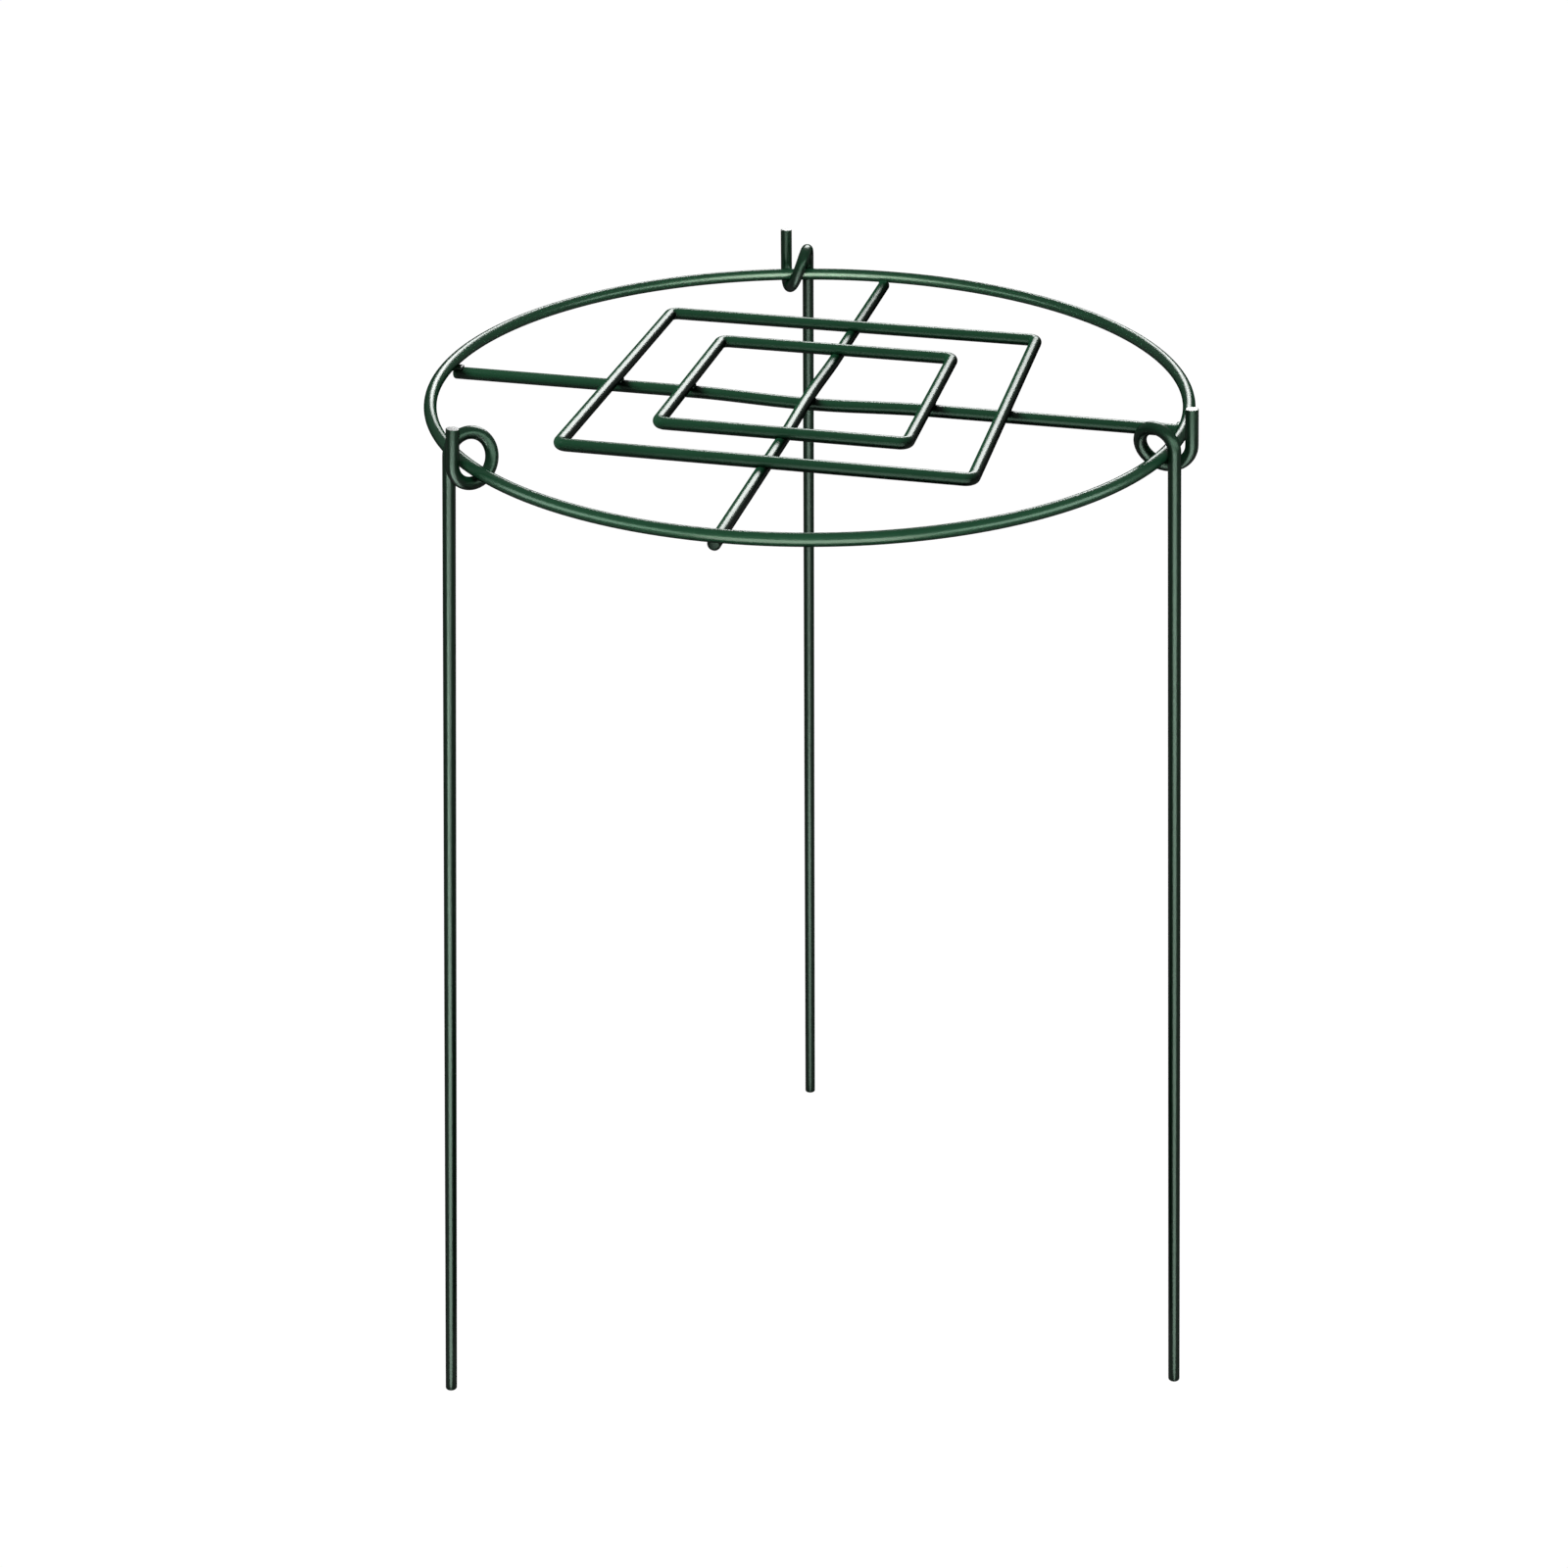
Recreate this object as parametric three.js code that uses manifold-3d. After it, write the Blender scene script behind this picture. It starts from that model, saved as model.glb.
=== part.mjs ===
// Grow-through plant support: a welded wire grid in a hoop, standing on three wire legs that
// each hook round the hoop with one open curl. Millimetres, +Z up, ground at z = 0.
import * as THREE from 'three';
import Module from 'manifold-3d';

// Wire and grid. Radii and half widths are measured to the middle of the wire.
const wireDiameter = 5;
const hoopRadius = 150;
const outerSquareHalf = 79.4;
const innerSquareHalf = 49.1;
const squareCornerRadius = 3.2;
const rodEndInset = 2.5; // short of the hoop's outer edge

// How deep each weld presses its two wires into each other.
const sideRodPress = 0.2;
const frontRodPress = 1.3;
const rodCrossingPress = 1.3;
const weldGap = 0.3;

// Legs. A leg's turn is where its curl stands on the hoop, anticlockwise from the side rod as seen
// from above. Its stance is how far it leans out from upright: the back leg leans in.
const legs = {
  leg_back: { turn: THREE.MathUtils.degToRad(105), stance: THREE.MathUtils.degToRad(-3.7) },
  leg_left: { turn: THREE.MathUtils.degToRad(225.7), stance: THREE.MathUtils.degToRad(4.2) },
  leg_right: { turn: THREE.MathUtils.degToRad(345.2), stance: THREE.MathUtils.degToRad(4.2) },
};
const hoopLevel = 434.8; // from the ground up to the middle of the hoop's wire
const curlRadius = 8.4;
const curlPitch = 9.7; // from the stem to the tail, along the hoop
const tailRise = 14.1; // from the curl's middle to the cut end
const tailOutset = 3.2; // the tail stands this much further out than the stem
const curlSeatGap = 0.4;
const curlSeatAngle = THREE.MathUtils.degToRad(264); // where the hoop lies in the curl, from the stem

// Facets
const wireSides = 16;
const hoopSteps = 96;
const cornerSteps = 7;
const bowSteps = 16;
const curlSteps = 44;

// Worked-out sizes
const wireRadius = wireDiameter / 2;
const seatRadius = wireRadius + weldGap;
const rodHalf = hoopRadius + wireRadius - rodEndInset;
const sideRodLevel = sideRodPress - wireDiameter;
const frontRodLevel = frontRodPress - wireDiameter;
const rodSpacing = wireDiameter - rodCrossingPress;
const rodBow = (rodSpacing - (frontRodLevel - sideRodLevel)) / 2;

const coat = { color: 0x193f2a, roughness: 0.32, metalness: 0 };

const manifold = await Module();
manifold.setup();

// Sweeps the round wire along a centreline of stations. A closed centreline joins up with itself,
// an open one gets a flat square-cut face at each end.
function wireAlong(stations, closed, radius = wireRadius) {
  const count = stations.length;
  const tangents = stations.map((here, i) => {
    const before = closed ? stations[(i + count - 1) % count] : stations[Math.max(i - 1, 0)];
    const after = closed ? stations[(i + 1) % count] : stations[Math.min(i + 1, count - 1)];
    const arriving = here.clone().sub(before).normalize();
    const leaving = after.clone().sub(here).normalize();
    return arriving.add(leaving).normalize();
  });
  const normal = new THREE.Vector3(0, 0, 1);
  if (Math.abs(normal.dot(tangents[0])) > Math.SQRT1_2) normal.set(0, 1, 0);
  normal.addScaledVector(tangents[0], -normal.dot(tangents[0])).normalize();

  const positions = [];
  const triangles = [];
  const turn = new THREE.Quaternion();
  stations.forEach((here, i) => {
    if (i > 0) normal.applyQuaternion(turn.setFromUnitVectors(tangents[i - 1], tangents[i]));
    const side = new THREE.Vector3().crossVectors(tangents[i], normal);
    for (let k = 0; k < wireSides; k += 1) {
      const angle = (2 * Math.PI * k) / wireSides;
      const point = here.clone();
      point.addScaledVector(normal, radius * Math.cos(angle));
      point.addScaledVector(side, radius * Math.sin(angle));
      positions.push(...point.toArray());
    }
  });
  const spans = closed ? count : count - 1;
  for (let i = 0; i < spans; i += 1) {
    const ring = i * wireSides;
    const nextRing = ((i + 1) % count) * wireSides;
    for (let k = 0; k < wireSides; k += 1) {
      const next = (k + 1) % wireSides;
      triangles.push(ring + k, ring + next, nextRing + next);
      triangles.push(ring + k, nextRing + next, nextRing + k);
    }
  }
  if (!closed) {
    const lastRing = (count - 1) * wireSides;
    for (let k = 1; k < wireSides - 1; k += 1) {
      triangles.push(0, k + 1, k);
      triangles.push(lastRing, lastRing + k, lastRing + k + 1);
    }
  }
  const geometry = new THREE.BufferGeometry();
  geometry.setAttribute('position', new THREE.Float32BufferAttribute(positions, 3));
  geometry.setIndex(triangles);
  return geometry;
}

function toSolid(geometry) {
  return new manifold.Manifold(new manifold.Mesh({
    numProp: 3,
    vertProperties: new Float32Array(geometry.attributes.position.array),
    triVerts: new Uint32Array(geometry.index.array),
  }));
}

function toGeometry(solid) {
  const mesh = solid.getMesh();
  const geometry = new THREE.BufferGeometry();
  geometry.setAttribute('position', new THREE.BufferAttribute(mesh.vertProperties, 3));
  geometry.setIndex(new THREE.BufferAttribute(mesh.triVerts, 1));
  return geometry;
}

// The hoop is a full circle in the grid's plane, z = 0 here.
function hoopLine() {
  return Array.from({ length: hoopSteps }, (_, i) => {
    const angle = (2 * Math.PI * i) / hoopSteps;
    return new THREE.Vector3(hoopRadius * Math.cos(angle), hoopRadius * Math.sin(angle), 0);
  });
}

// A square is bent from one wire with four rounded corners and lies in the hoop's plane.
function squareLine(half) {
  const centre = half - squareCornerRadius;
  const corners = [[1, 1], [-1, 1], [-1, -1], [1, -1]];
  return corners.flatMap(([x, y], corner) => Array.from({ length: cornerSteps + 1 }, (_, i) => {
    const angle = (Math.PI / 2) * (corner + i / cornerSteps);
    return new THREE.Vector3(
      x * centre + squareCornerRadius * Math.cos(angle),
      y * centre + squareCornerRadius * Math.sin(angle),
      0,
    );
  }));
}

// A rod runs straight under the hoop and both squares. Inside the inner square it bows gently,
// up or down, so that the two rods pass each other at the middle.
function rodLine(along, level, bow) {
  const bowed = Array.from({ length: bowSteps + 1 }, (_, i) => {
    const place = innerSquareHalf * ((2 * i) / bowSteps - 1);
    const rise = bow * Math.cos((Math.PI * place) / (2 * innerSquareHalf)) ** 2;
    return along.clone().multiplyScalar(place).setZ(level + rise);
  });
  const start = along.clone().multiplyScalar(-rodHalf).setZ(level);
  const end = along.clone().multiplyScalar(rodHalf).setZ(level);
  return [start, ...bowed, end];
}

// A rod with a pressed seat for each wire that is welded on top of it.
function seatedRod(line, wiresAbove) {
  const rod = wiresAbove.reduce(
    (solid, wire) => solid.subtract(toSolid(wireAlong(wire.line, wire.closed, seatRadius))),
    toSolid(wireAlong(line, false)),
  );
  return toGeometry(rod);
}

// The curl seen along the hoop, from its own middle: the wire goes once round anticlockwise from
// the stem, and drifts out and along the hoop to the tail.
function curlPoint(angle) {
  const share = (angle - Math.sin(angle)) / (2 * Math.PI);
  return new THREE.Vector3(
    curlRadius * Math.cos(angle) + tailOutset * share,
    curlPitch * (share - 0.5),
    curlRadius * Math.sin(angle),
  );
}

// Where the hoop's wire passes through the curl: inside it, against the wire at the seat's angle.
function hoopInCurl() {
  const drift = (tailOutset * (1 - Math.cos(curlSeatAngle))) / (2 * Math.PI);
  const along = new THREE.Vector3(
    drift - curlRadius * Math.sin(curlSeatAngle),
    0,
    curlRadius * Math.cos(curlSeatAngle),
  ).normalize();
  const inward = new THREE.Vector3(-along.z, 0, along.x);
  return curlPoint(curlSeatAngle).setY(0).addScaledVector(inward, wireDiameter + curlSeatGap);
}

// A leg in the frame of its curl: the hoop's wire runs along y through the origin, x points out.
// The stem rises outside the hoop, goes once over, inside and under it, and ends in an upright tail.
// It is cut so that its foot just reaches the ground when it leans by its stance.
function legLine(stance) {
  const curl = Array.from({ length: curlSteps + 1 }, (_, i) => (
    curlPoint((2 * Math.PI * i) / curlSteps).sub(hoopInCurl())
  ));
  const lean = Math.sin(stance);
  const reach = hoopLevel - wireRadius * Math.abs(lean) + curl[0].x * lean;
  const foot = curl[0].clone().setZ(-reach / Math.cos(stance));
  const tailEnd = curl.at(-1).clone();
  tailEnd.z += tailRise;
  return [foot, ...curl, tailEnd];
}

function named(name, geometry) {
  geometry.computeVertexNormals();
  const mesh = new THREE.Mesh(geometry, new THREE.MeshStandardMaterial(coat));
  mesh.name = name;
  return mesh;
}

function weldedGrid() {
  const hoop = { line: hoopLine(), closed: true };
  const outerSquare = { line: squareLine(outerSquareHalf), closed: true };
  const innerSquare = { line: squareLine(innerSquareHalf), closed: true };
  const sideways = new THREE.Vector3(1, 0, 0);
  const frontways = new THREE.Vector3(0, 1, 0);
  const frontRod = { line: rodLine(frontways, frontRodLevel, rodBow), closed: false };
  const sideRodLine = rodLine(sideways, sideRodLevel, -rodBow);
  const loops = [hoop, outerSquare, innerSquare];

  const grid = new THREE.Group();
  grid.add(
    named('hoop', wireAlong(hoop.line, hoop.closed)),
    named('outer_square', wireAlong(outerSquare.line, outerSquare.closed)),
    named('inner_square', wireAlong(innerSquare.line, innerSquare.closed)),
    named('front_rod', seatedRod(frontRod.line, loops)),
    named('side_rod', seatedRod(sideRodLine, [...loops, frontRod])),
  );
  return grid;
}

function hookedLeg(name, { turn, stance }) {
  const curl = new THREE.Group();
  curl.position.x = hoopRadius;
  curl.rotation.y = -stance;
  curl.add(named(name, wireAlong(legLine(stance), false)));
  const station = new THREE.Group();
  station.rotation.z = turn;
  station.add(curl);
  return station;
}

// The support stands on z = 0 with the origin under the middle of its outline.
const support = new THREE.Group();
support.add(weldedGrid());
Object.entries(legs).forEach(([name, leg]) => support.add(hookedLeg(name, leg)));
support.updateMatrixWorld(true);
const outline = new THREE.Box3().setFromObject(support, true);
const middle = outline.getCenter(new THREE.Vector3());
support.position.set(-middle.x, -middle.y, -outline.min.z);

export default support;
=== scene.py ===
import bpy
from math import cos, pi, radians, sin
from mathutils import Matrix, Vector


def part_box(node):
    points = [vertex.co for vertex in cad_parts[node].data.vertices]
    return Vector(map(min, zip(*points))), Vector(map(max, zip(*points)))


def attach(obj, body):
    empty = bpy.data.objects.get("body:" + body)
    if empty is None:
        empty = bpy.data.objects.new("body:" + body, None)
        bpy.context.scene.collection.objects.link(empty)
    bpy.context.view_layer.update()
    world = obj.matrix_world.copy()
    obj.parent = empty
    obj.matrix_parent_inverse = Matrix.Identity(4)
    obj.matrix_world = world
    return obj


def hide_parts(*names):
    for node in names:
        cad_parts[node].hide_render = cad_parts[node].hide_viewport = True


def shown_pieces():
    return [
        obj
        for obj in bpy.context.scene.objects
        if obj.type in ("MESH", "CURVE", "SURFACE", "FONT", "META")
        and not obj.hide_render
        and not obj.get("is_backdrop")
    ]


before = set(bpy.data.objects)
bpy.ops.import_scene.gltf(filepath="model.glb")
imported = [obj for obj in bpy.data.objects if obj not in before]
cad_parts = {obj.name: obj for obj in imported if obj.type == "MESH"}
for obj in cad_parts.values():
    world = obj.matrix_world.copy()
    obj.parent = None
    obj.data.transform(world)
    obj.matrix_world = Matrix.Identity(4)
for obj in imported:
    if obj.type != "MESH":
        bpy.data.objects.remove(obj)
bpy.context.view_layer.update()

print("frame loaded:", len(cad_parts), "wires")

hoopLow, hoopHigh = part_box("hoop")
hoopCentre = (hoopLow + hoopHigh) / 2
mm = 0.001
up = Vector((0, 0, 1))


# Camera

camera = {
    "turn": radians(12.95),    # it looks along +Y turned this much towards -X
    "height": radians(20.05),  # how high it stands, seen from the hoop's middle
    "distance": 1.0174,
    "pitch": radians(28.94),
    "sensor": 36,              # millimetres, as the lens is
    "lens": 57.89,
    "shift": -26.2 / 1600,     # the hoop's middle is 26.2 of 1600 pixels right of the photo's
    "near": 0.05,
    "far": 60,
}

cameraTurn = Matrix.Rotation(camera["turn"], 4, "Z")
fromHoop = cameraTurn @ Vector((0, -cos(camera["height"]), sin(camera["height"])))
bpy.ops.object.select_all(action="DESELECT")
bpy.ops.object.camera_add(
    location=hoopCentre + fromHoop * camera["distance"],
    rotation=(pi / 2 - camera["pitch"], 0, camera["turn"]),
)
lookout = bpy.context.object
lookout.name = "photoCamera"
lookout.data.sensor_width = camera["sensor"]
lookout.data.lens = camera["lens"]
lookout.data.shift_x = camera["shift"]
lookout.data.clip_start, lookout.data.clip_end = camera["near"], camera["far"]
bpy.context.scene.camera = lookout
print("camera placed")


# Wire, bent as by hand: a round section is pulled along straights and turned round bends.

wire = {"radius": 2.5 * mm, "sides": 32, "roundingSteps": 5, "smoothUnder": radians(50)}
touching = 0.001 * mm
straightEnough = 1e-7  # in radians: for a smaller turn of the line the section isn't turned


def startWire(name, place, facing):
    bpy.ops.object.select_all(action="DESELECT")
    bpy.ops.mesh.primitive_circle_add(
        vertices=wire["sides"], radius=wire["radius"], location=place, rotation=facing)
    piece = bpy.context.object
    piece.name = name
    piece.data.name = name
    bpy.ops.object.transform_apply(location=True, rotation=True, scale=True)
    bpy.ops.object.mode_set(mode="EDIT")
    bpy.ops.mesh.select_all(action="SELECT")
    return piece


def pullStraight(way):
    bpy.ops.mesh.extrude_region_move(TRANSFORM_OT_translate={"value": way})


def turnBend(centre, angle, steps):
    bpy.ops.mesh.spin(steps=steps, angle=angle, center=centre, axis=-up)


# Pulls the section along a line of points, and turns it to face along the line at each one.
def followLine(points, facing):
    cursor = bpy.context.scene.cursor
    cursor.rotation_mode = "QUATERNION"
    for i, here in enumerate(points[1:], 1):
        pullStraight(here - points[i - 1])
        arriving = (here - points[i - 1]).normalized()
        leaving = (points[min(i + 1, len(points) - 1)] - here).normalized()
        newFacing = (arriving + leaving).normalized()
        axis = facing.cross(newFacing)
        if axis.length > straightEnough:
            cursor.rotation_quaternion = up.rotation_difference(axis.normalized())
            bpy.context.view_layer.update()
            bpy.ops.transform.rotate(
                value=-facing.angle(newFacing), orient_axis="Z", orient_type="CURSOR",
                center_override=here)
        facing = newFacing
    cursor.rotation_quaternion = (1, 0, 0, 0)


def joinUp():
    bpy.ops.mesh.select_all(action="SELECT")
    bpy.ops.mesh.remove_doubles(threshold=touching)
    bpy.ops.mesh.normals_make_consistent(inside=False)


# Closes both ends of an open wire with a flat face and rounds the rim of each. It leaves the two
# flat faces selected.
def closeEnds(rounding):
    bpy.ops.mesh.select_all(action="SELECT")
    bpy.ops.mesh.fill_holes(sides=wire["sides"])
    bpy.ops.mesh.normals_make_consistent(inside=False)
    bpy.ops.mesh.select_all(action="DESELECT")
    bpy.ops.object.mode_set(mode="OBJECT")
    for face in bpy.context.object.data.polygons:
        face.select = len(face.vertices) == wire["sides"]
    bpy.ops.object.mode_set(mode="EDIT")
    bpy.ops.mesh.select_mode(type="FACE")
    bpy.ops.mesh.bevel(offset=rounding, segments=wire["roundingSteps"], affect="EDGES")
    bpy.ops.mesh.select_mode(type="VERT")


# A copy with its own mesh, left selected and active
def copyOf(pattern, name):
    bpy.ops.object.select_all(action="DESELECT")
    pattern.select_set(True)
    bpy.context.view_layer.objects.active = pattern
    bpy.ops.object.duplicate()
    piece = bpy.context.object
    piece.name = name
    piece.data.name = name
    return piece


def finishWire(piece, body, *nodes):
    bpy.ops.object.mode_set(mode="OBJECT")
    bpy.ops.object.shade_smooth_by_angle(angle=wire["smoothUnder"])
    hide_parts(*nodes)
    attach(piece, body)


# The round hoop

hoop = {"radius": 150 * mm, "steps": 240}

hoopWire = startWire("hoop_wire", hoopCentre + Vector((hoop["radius"], 0, 0)), (pi / 2, 0, 0))
bpy.ops.mesh.spin(steps=hoop["steps"], angle=2 * pi, center=hoopCentre, axis=up)
joinUp()
finishWire(hoopWire, "grid", "hoop")
print("hoop bent")


# The two squares, each one wire with four tight bends

square = {
    "outerHalf": 79.4 * mm,
    "innerHalf": 49.1 * mm,
    "cornerRadius": 3.2 * mm,
    "cornerSteps": 14,
}


def bendSquare(name, half, node):
    bend = half - square["cornerRadius"]
    piece = startWire(name, hoopCentre + Vector((half, -bend, 0)), (pi / 2, 0, 0))
    run = Vector((0, 2 * bend, 0))
    for x, y in ((1, 1), (-1, 1), (-1, -1), (1, -1)):
        pullStraight(run)
        turnBend(hoopCentre + Vector((x * bend, y * bend, 0)), pi / 2, square["cornerSteps"])
        run = Vector((-run.y, run.x, 0))
    joinUp()
    finishWire(piece, "grid", node)


bendSquare("outer_square_wire", square["outerHalf"], "outer_square")
bendSquare("inner_square_wire", square["innerHalf"], "inner_square")
print("squares bent")


# The two rods under the hoop and squares, which bow a little to pass each other at the middle

rod = {
    "half": 150 * mm,
    "sideLevel": -4.8 * mm,
    "frontLevel": -3.7 * mm,
    "bow": 1.3 * mm,
    "bowHalf": square["innerHalf"],
    "bowSteps": 24,
    "endRounding": 1.1 * mm,
}


def bendRod(name, along, facing, level, bow, node):
    middle = hoopCentre + up * level
    points = [middle - along * rod["half"]]
    for i in range(rod["bowSteps"] + 1):
        share = 2 * i / rod["bowSteps"] - 1
        rise = bow * cos(pi * share / 2) ** 2
        points.append(middle + along * (share * rod["bowHalf"]) + up * rise)
    points.append(middle + along * rod["half"])
    piece = startWire(name, points[0], facing)
    followLine(points, along)
    closeEnds(rod["endRounding"])
    finishWire(piece, "grid", node)


alongX, alongY = Vector((1, 0, 0)), Vector((0, 1, 0))
bendRod("front_rod_wire", alongY, (-pi / 2, 0, 0), rod["frontLevel"], rod["bow"], "front_rod")
bendRod("side_rod_wire", alongX, (0, pi / 2, 0), rod["sideLevel"], -rod["bow"], "side_rod")
print("rods laid under")


# A bead of weld under each crossing, which fills the crevices between its two wires

bead = {
    "reach": 1.9 * mm,
    "rise": 0.75 * mm,
    "rounding": 0.6 * mm,
    "roundingSteps": 5,
    "rimInset": 2.2 * mm,  # under the hoop the beads sit this far in from its middle
}

bpy.ops.object.select_all(action="DESELECT")
bpy.ops.mesh.primitive_cube_add(size=2)
beadPattern = bpy.context.object
beadPattern.scale = (bead["reach"], bead["reach"], bead["rise"])
bpy.ops.object.transform_apply(location=True, rotation=True, scale=True)
bpy.ops.object.mode_set(mode="EDIT")
bpy.ops.mesh.select_all(action="SELECT")
bpy.ops.mesh.bevel(offset=bead["rounding"], segments=bead["roundingSteps"], affect="EDGES")
bpy.ops.mesh.normals_make_consistent(inside=False)
bpy.ops.object.mode_set(mode="OBJECT")
crossings = [Vector((0, 0, (rod["frontLevel"] + rod["sideLevel"]) / 2))]
for along, level in ((alongX, rod["sideLevel"]), (alongY, rod["frontLevel"])):
    for place in (square["innerHalf"], square["outerHalf"], hoop["radius"] - bead["rimInset"]):
        crossings += [along * place + up * level / 2, along * -place + up * level / 2]
for i, crossing in enumerate(crossings):
    weld = copyOf(beadPattern, "weld_" + str(i))
    weld.location = hoopCentre + crossing
    bpy.ops.object.transform_apply(location=True, rotation=True, scale=True)
    bpy.ops.object.shade_smooth()
    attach(weld, "grid")
bpy.data.objects.remove(beadPattern)
print("crossings welded")


# The legs: a straight stem, one open curl over, inside and under the hoop, and an upright tail

leg = {
    "turns": {"leg_back": radians(105), "leg_left": radians(225.7), "leg_right": radians(345.2)},
    "stances": {"leg_back": radians(-3.7), "leg_left": radians(4.2), "leg_right": radians(4.2)},
    "reaches": {"leg_back": 435.16 * mm, "leg_left": 436.22 * mm, "leg_right": 436.22 * mm},
    "curlMiddle": (-2.504 * mm, 2.98 * mm),  # outwards and up from the middle of the hoop's wire
    "curlRadius": 8.4 * mm,
    "curlPitch": 9.7 * mm,
    "curlSteps": 72,
    "tailRise": 14.1 * mm,
    "tailOutset": 3.2 * mm,
    "cutRounding": 0.3 * mm,
    "coreRadius": 2 * mm,
}


def legPoints():
    curlX, curlZ = leg["curlMiddle"]
    points = [Vector((
        curlX + leg["curlRadius"],
        -leg["curlPitch"] / 2,
        -leg["reaches"]["leg_left"],
    ))]
    for i in range(leg["curlSteps"] + 1):
        angle = 2 * pi * i / leg["curlSteps"]
        share = (angle - sin(angle)) / (2 * pi)
        points.append(Vector((
            curlX + leg["curlRadius"] * cos(angle) + leg["tailOutset"] * share,
            leg["curlPitch"] * (share - 0.5),
            curlZ + leg["curlRadius"] * sin(angle),
        )))
    points.append(points[-1] + up * leg["tailRise"])
    return points


line = legPoints()
pattern = startWire("legPattern", line[0], (0, 0, 0))
followLine(line, up)
closeEnds(leg["cutRounding"])
bpy.ops.mesh.inset(thickness=wire["radius"] - leg["cutRounding"] - leg["coreRadius"])
bpy.ops.object.mode_set(mode="OBJECT")
for name, turn in leg["turns"].items():
    piece = copyOf(pattern, name + "_wire")
    for corner in piece.data.vertices:  # the foot, which each leg's own reach moves up or down
        corner.select = corner.co.z < -leg["reaches"][name] / 2
    bpy.ops.object.mode_set(mode="EDIT")
    bpy.ops.transform.translate(value=up * (leg["reaches"]["leg_left"] - leg["reaches"][name]))
    bpy.ops.object.mode_set(mode="OBJECT")
    outward = Vector((cos(turn), sin(turn), 0))
    piece.matrix_world = (
        Matrix.Translation(hoopCentre + outward * hoop["radius"])
        @ Matrix.Rotation(turn, 4, "Z")
        @ Matrix.Rotation(-leg["stances"][name], 4, "Y")
    )
    bpy.ops.object.transform_apply(location=True, rotation=True, scale=True)
    finishWire(piece, name, name)
bpy.data.objects.remove(pattern)
print("legs hooked on")


# Finishes

class Flow:  # a shader value that can stand in a sum
    def __init__(self, finish, socket):
        self.finish, self.socket = finish, socket

    def reckon(self, operation, other):
        return self.finish.node("ShaderNodeMath", {"operation": operation}, {0: self, 1: other})[0]

    def __add__(self, other):
        return self.reckon("ADD", other)

    def __mul__(self, other):
        return self.reckon("MULTIPLY", other)

    __radd__ = __add__
    __rmul__ = __mul__


class Finish:  # the nodes of a material or of the world
    def __init__(self, owner, ending="ShaderNodeOutputMaterial"):
        owner.use_nodes = True
        self.owner, self.tree = owner, owner.node_tree
        self.tree.nodes.clear()
        self.output = self.tree.nodes.new(ending)

    def node(self, kind, settings=None, inputs=None):
        made = self.tree.nodes.new(kind)
        for key, value in (settings or {}).items():
            setattr(made, key, value)
        for key, value in (inputs or {}).items():
            if isinstance(value, Flow):
                self.tree.links.new(value.socket, made.inputs[key])
            else:
                made.inputs[key].default_value = value
        return [Flow(self, socket) for socket in made.outputs]

    def place(self):  # of the point that is lit, in its own object
        return self.node("ShaderNodeTexCoord")[3]

    def blend(self, share, first, second):
        return self.node("ShaderNodeMix", {"data_type": "RGBA"}, {0: share, 6: first, 7: second})[2]

    def show(self, shader):
        self.tree.links.new(shader.socket, self.output.inputs["Surface"])
        return self.owner


coat = {
    "deep": (0.006, 0.034, 0.015, 1),
    "light": (0.010, 0.052, 0.024, 1),
    "scuff": (0.05, 0.12, 0.075, 1),
    "cloudScale": 45,
    "scuffScale": 230,
    "scuffRange": (0.66, 0.74),
    "scuffShare": 0.35,
    "roughness": 0.45,
    "cloudRoughness": 0.1,
    "scuffRoughness": 0.15,
    "gloss": 0.16,
    "glossRoughness": 0.28,
    "glossEdge": (0.45, 0.85),  # the gloss fades out between these, from facing to edge on
    "rippleScale": 700,
    "rippleDepth": 0.06 * mm,
    "ripple": 0.05,
}


def greenCoat():
    finish = Finish(bpy.data.materials.new("greenCoat"))
    place = finish.place()
    cloud = finish.node("ShaderNodeTexNoise", {}, {
        "Vector": place, "Scale": coat["cloudScale"], "Detail": 3})[0]
    ripple = finish.node("ShaderNodeTexNoise", {}, {
        "Vector": place, "Scale": coat["rippleScale"], "Detail": 2})[0]
    rub = finish.node("ShaderNodeTexNoise", {}, {
        "Vector": place, "Scale": coat["scuffScale"], "Detail": 6, "Roughness": 0.7})[0]
    scuffed = finish.node("ShaderNodeMapRange", {"clamp": True}, {
        "Value": rub, "From Min": coat["scuffRange"][0], "From Max": coat["scuffRange"][1]})[0]
    mottled = finish.blend(cloud, coat["deep"], coat["light"])
    bump = finish.node("ShaderNodeBump", {}, {
        "Strength": coat["ripple"], "Distance": coat["rippleDepth"], "Height": ripple})[0]
    facing = finish.node("ShaderNodeLayerWeight", {}, {"Blend": 0.5})[1]
    gloss = finish.node("ShaderNodeMapRange", {"clamp": True, "interpolation_type": "SMOOTHSTEP"}, {
        "Value": facing, "From Min": coat["glossEdge"][0], "From Max": coat["glossEdge"][1],
        "To Min": coat["gloss"], "To Max": 0})[0]
    return finish.show(finish.node("ShaderNodeBsdfPrincipled", {}, {
        "Base Color": finish.blend(scuffed * coat["scuffShare"], mottled, coat["scuff"]),
        "Roughness": (cloud * coat["cloudRoughness"] + scuffed * coat["scuffRoughness"]
                      + coat["roughness"]),
        "Specular IOR Level": 0,
        "Coat Weight": gloss,
        "Coat Roughness": coat["glossRoughness"],
        "Normal": bump,
    })[0])


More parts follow.
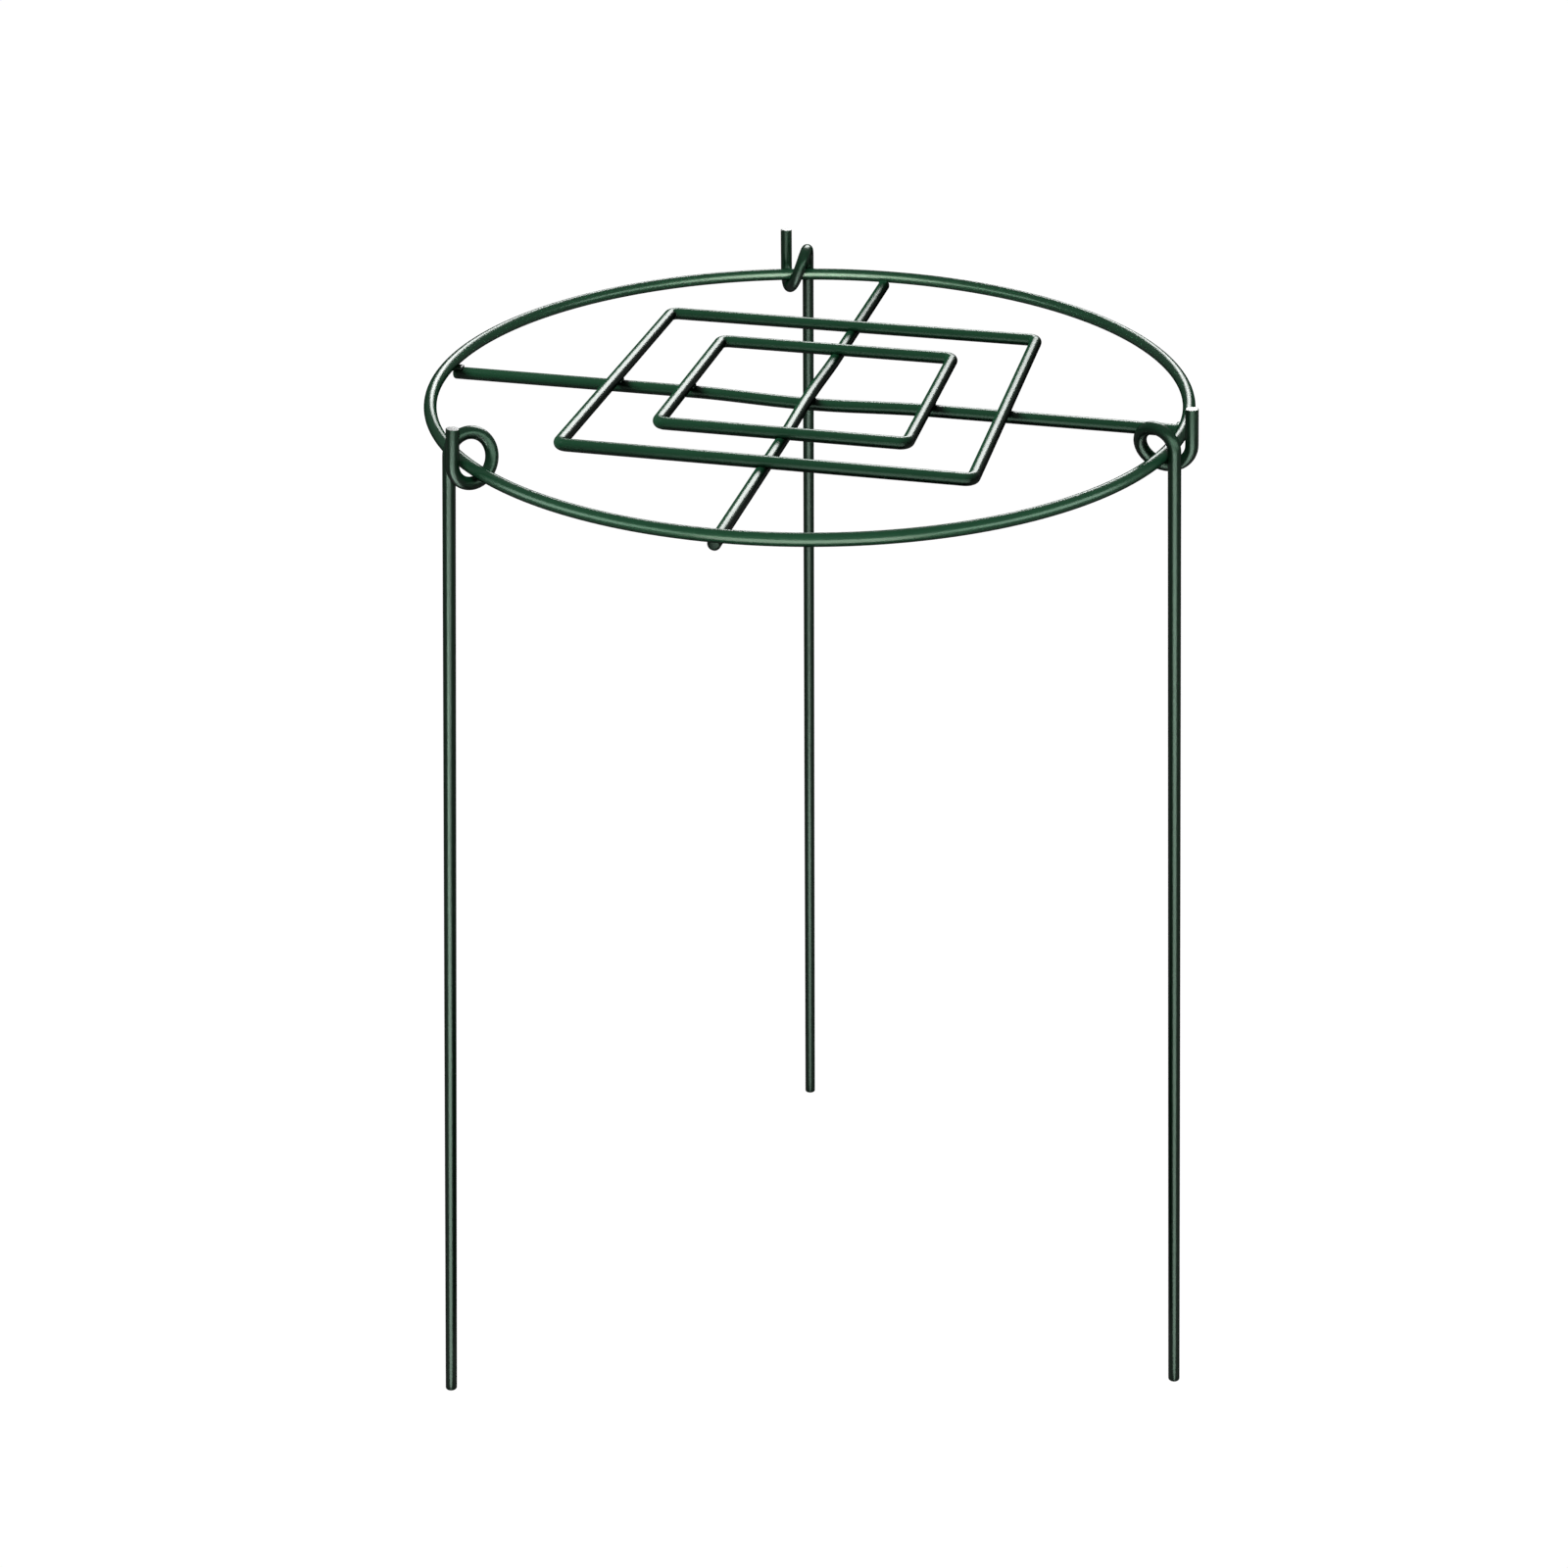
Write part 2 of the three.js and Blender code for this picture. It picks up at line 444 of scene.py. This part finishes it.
steel = {
    "dark": (0.09, 0.10, 0.095, 1),
    "light": (0.17, 0.18, 0.17, 1),
    "grainScale": 1800,
    "grainDepth": 0.05 * mm,
    "grain": 0.3,
    "roughness": 0.5,
    "grainRoughness": 0.2,
    "shine": 0.1,
}


def cutSteel():
    finish = Finish(bpy.data.materials.new("cutSteel"))
    grain = finish.node("ShaderNodeTexNoise", {}, {
        "Vector": finish.place(), "Scale": steel["grainScale"], "Detail": 4})[0]
    bump = finish.node("ShaderNodeBump", {}, {
        "Strength": steel["grain"], "Distance": steel["grainDepth"], "Height": grain})[0]
    return finish.show(finish.node("ShaderNodeBsdfPrincipled", {}, {
        "Base Color": finish.blend(grain, steel["dark"], steel["light"]),
        "Roughness": grain * steel["grainRoughness"] + steel["roughness"],
        "Specular IOR Level": steel["shine"],
        "Normal": bump,
    })[0])


greenFinish = greenCoat()
steelFinish = cutSteel()
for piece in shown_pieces():
    piece.data.materials.clear()
    piece.data.materials.append(greenFinish)
    if piece.name.startswith("leg_"):  # the only full rounds on a leg are the cores of its cut ends
        piece.data.materials.append(steelFinish)
        for face in piece.data.polygons:
            face.material_index = 1 if len(face.vertices) == wire["sides"] else 0
print("finishes on")


# Floor and world, which are white to the eye and in the gloss, and light nothing else

stage = {
    "floorHalf": 12,
    "floorGlow": 1.13,
    "floorPaper": (0.9, 0.9, 0.9, 1),
    "shadowShare": 0.1,  # how much of the floor is paper that takes the shadows
    "floorBounce": (0.02, 0.02, 0.02, 1),
}
white = (1, 1, 1, 1)


# 1 for rays from the camera, from gloss and through glass, 0 for the rest
def seenRays(finish):
    rays = finish.node("ShaderNodeLightPath")
    anySeen = rays[0] + rays[3] + rays[6]
    return finish.node("ShaderNodeMath", {"operation": "MINIMUM"}, {0: anySeen, 1: 1})[0]


bpy.ops.object.select_all(action="DESELECT")
bpy.ops.mesh.primitive_plane_add(size=2 * stage["floorHalf"], location=(0, 0, 0))
floor = bpy.context.object
floor.name = "floor"
bpy.ops.object.transform_apply(location=True, rotation=True, scale=True)
pale = Finish(bpy.data.materials.new("paleFloor"))
seen = seenRays(pale)
paper = pale.node("ShaderNodeBsdfDiffuse", {}, {"Color": stage["floorPaper"]})[0]
bounce = pale.node("ShaderNodeBsdfDiffuse", {}, {"Color": stage["floorBounce"]})[0]
glow = pale.node("ShaderNodeEmission", {}, {"Color": white, "Strength": stage["floorGlow"]})[0]
shown = pale.node("ShaderNodeMixShader", {}, {0: stage["shadowShare"], 1: glow, 2: paper})[0]
floor.data.materials.append(pale.show(
    pale.node("ShaderNodeMixShader", {}, {0: seen, 1: bounce, 2: shown})[0]))
floor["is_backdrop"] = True

bpy.context.scene.world = bpy.data.worlds.new("paleRoom")
room = Finish(bpy.context.scene.world, "ShaderNodeOutputWorld")
roomSeen = seenRays(room)
roomDark = room.node("ShaderNodeBackground", {}, {"Color": white, "Strength": 0})[0]
roomWhite = room.node("ShaderNodeBackground", {}, {"Color": white, "Strength": 1})[0]
room.show(room.node("ShaderNodeMixShader", {}, {0: roomSeen, 1: roomDark, 2: roomWhite})[0])
print("floor and world white")


# Lamps. Places and aims are in metres right of, behind and above the hoop's middle, as the camera
# sees it. Body lamps light the coat's colour, and gloss lamps are only seen in its gloss.

paleGreen = (0.8, 1, 0.88)
paleOrange = (1, 0.95, 0.88)
paleYellow = (1, 1, 0.92)
wattsForGlow = 4  # for each square metre of a lamp
lampBase = {"aim": (0, 0, 0), "shape": "RECTANGLE", "tint": (1, 1, 1), "spread": pi}
lamps = {
    "sideKey": {
        "sort": "body", "lights": "grid", "glow": 17,
        "place": (-1.3, -0.3, 1.3), "size": (0.9, 0.9)},
    "frontKey": {
        "sort": "body", "lights": "rim", "glow": 13.5,
        "place": (0, -1.45, 1.15), "size": (0.9, 0.9)},
    "topKey": {
        "sort": "body", "lights": "legs", "glow": 4.5,
        "place": (0, -0.56, 1.7), "size": (1.2, 1)},
    "backFill": {
        "sort": "body", "lights": "all", "glow": 14,
        "place": (0, 1.9, -0.05), "aim": (0, 0, -0.2), "size": (0.9, 0.9)},
    "backDisc": {
        "sort": "gloss", "lights": "rest", "glow": 52, "shape": "DISK",
        "place": (0.46, 2.34, 1.3), "size": (1.65, 1.65)},
    "rimDiscLeft": {
        "sort": "gloss", "lights": "rim", "glow": 3.3, "shape": "DISK", "spread": radians(34),
        "place": (-0.11, 0.465, 0.18), "aim": (-0.15, 0, 0), "size": (0.24, 0.24)},
    "rimDiscRight": {
        "sort": "gloss", "lights": "rim", "glow": 2.8, "shape": "DISK", "spread": radians(34),
        "place": (0.2, 0.465, 0.17), "aim": (0.15, 0, 0), "size": (0.24, 0.24)},
    "rimCard": {
        "sort": "gloss", "lights": "rim", "glow": 26, "tint": paleYellow,
        "place": (0, -0.65, -0.155), "aim": (0, 0, -0.155), "size": (0.7, 0.55)},
    "rimCardLeft": {
        "sort": "gloss", "lights": "rim", "glow": 22, "tint": paleGreen,
        "place": (-0.62, -0.38, 0.08), "aim": (0, -0.1, 0), "size": (0.75, 0.35)},
    "rimCardRight": {
        "sort": "gloss", "lights": "rim", "glow": 22, "tint": paleGreen,
        "place": (0.62, -0.38, 0.08), "aim": (0, -0.1, 0), "size": (0.75, 0.35)},
    "curlCard": {
        "sort": "gloss", "lights": "legs", "glow": 14, "tint": paleGreen,
        "place": (0.5, -0.95, 0.3), "size": (2, 0.5)},
    "legCard": {
        "sort": "gloss", "lights": "legs", "glow": 4, "tint": paleGreen,
        "place": (0, -0.65, -0.155), "aim": (0, 0, -0.155), "size": (0.7, 0.55)},
    "gridCard": {
        "sort": "gloss", "lights": "grid", "glow": 8, "tint": paleGreen,
        "place": (0, -0.65, -0.155), "aim": (0, 0, -0.155), "size": (0.7, 0.55)},
    "innerCard": {
        "sort": "gloss", "lights": "rim", "glow": 18, "tint": paleOrange, "spread": radians(100),
        "place": (0, 0, 0.03), "aim": (0, 0.15, 0), "size": (0.35, 0.16)},
}

groups = {name: bpy.data.collections.new(name) for name in ("all", "rest", "grid", "rim", "legs")}
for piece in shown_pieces():
    group = "rim" if piece == hoopWire else "legs" if piece.name.startswith("leg_") else "grid"
    groups["all"].objects.link(piece)
    groups[group].objects.link(piece)
    if piece != hoopWire:
        groups["rest"].objects.link(piece)

for name, details in lamps.items():
    make = {**lampBase, **details}
    place = hoopCentre + cameraTurn @ Vector(make["place"])
    aim = hoopCentre + cameraTurn @ Vector(make["aim"])
    bpy.ops.object.light_add(type="AREA", location=place)
    lamp = bpy.context.object
    lamp.name = name
    lamp.data.shape = make["shape"]
    lamp.data.size, lamp.data.size_y = make["size"]
    area = make["size"][0] * make["size"][1] * (pi / 4 if make["shape"] == "DISK" else 1)
    lamp.data.energy = wattsForGlow * area * make["glow"]
    lamp.data.color = make["tint"]
    lamp.data.spread = make["spread"]
    lamp.rotation_euler = (aim - place).to_track_quat("-Z", "Y").to_euler()
    lamp.visible_camera = False
    lamp.visible_glossy = make["sort"] == "gloss"
    lamp.visible_diffuse = make["sort"] == "body"
    lamp.light_linking.receiver_collection = groups[make["lights"]]
print("lamps hung")


# A bright wedge of floor in front of each foot, which only that leg's gloss sees

wedge = {
    "radius": 1.2,      # from the wedge's middle to its three corners
    "lift": 0.5 * mm,
    "footGap": 3 * mm,  # from the middle of the foot to the wedge's point
    "tint": paleGreen + (1,),
    "fade": 0.8,        # the far glow is reached this far from the foot
    "glows": {"leg_back": (14, 57), "leg_left": (25, 58), "leg_right": (21, 32)},  # near and far
}

for name, (near, far) in wedge["glows"].items():
    piece = bpy.data.objects[name + "_wire"]
    end = [corner.co for corner in piece.data.vertices if corner.co.z < wire["radius"] / 2]
    foot = sum(end, Vector()) / len(end)
    toMiddle = cameraTurn @ Vector((0, wedge["radius"] + wedge["footGap"], 0))
    bpy.ops.mesh.primitive_circle_add(
        vertices=3, radius=wedge["radius"], fill_type="NGON", rotation=(0, 0, camera["turn"]),
        location=Vector((foot.x, foot.y, wedge["lift"])) - toMiddle)
    card = bpy.context.object
    card.name = name + "_card"
    bpy.ops.object.transform_apply(location=True, rotation=True, scale=True)
    shine = Finish(bpy.data.materials.new(name + "Shine"))
    distance = shine.node("ShaderNodeVectorMath", {"operation": "DISTANCE"}, {
        0: shine.place(), 1: foot})[1]
    share = shine.node("ShaderNodeMapRange", {"clamp": True}, {
        "Value": distance, "From Max": wedge["fade"]})[0]
    glows = [shine.node("ShaderNodeEmission", {}, {"Color": wedge["tint"], "Strength": strength})[0]
             for strength in (near, far)]
    card.data.materials.append(shine.show(
        shine.node("ShaderNodeMixShader", {}, {0: share, 1: glows[0], 2: glows[1]})[0]))
    card.visible_camera = card.visible_diffuse = card.visible_shadow = False
    onlyLeg = bpy.data.collections.new(name + "_only")
    onlyLeg.objects.link(piece)
    card.light_linking.receiver_collection = onlyLeg
    card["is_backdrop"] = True

bpy.context.scene.view_settings.view_transform = "Standard"
print("stage lit")
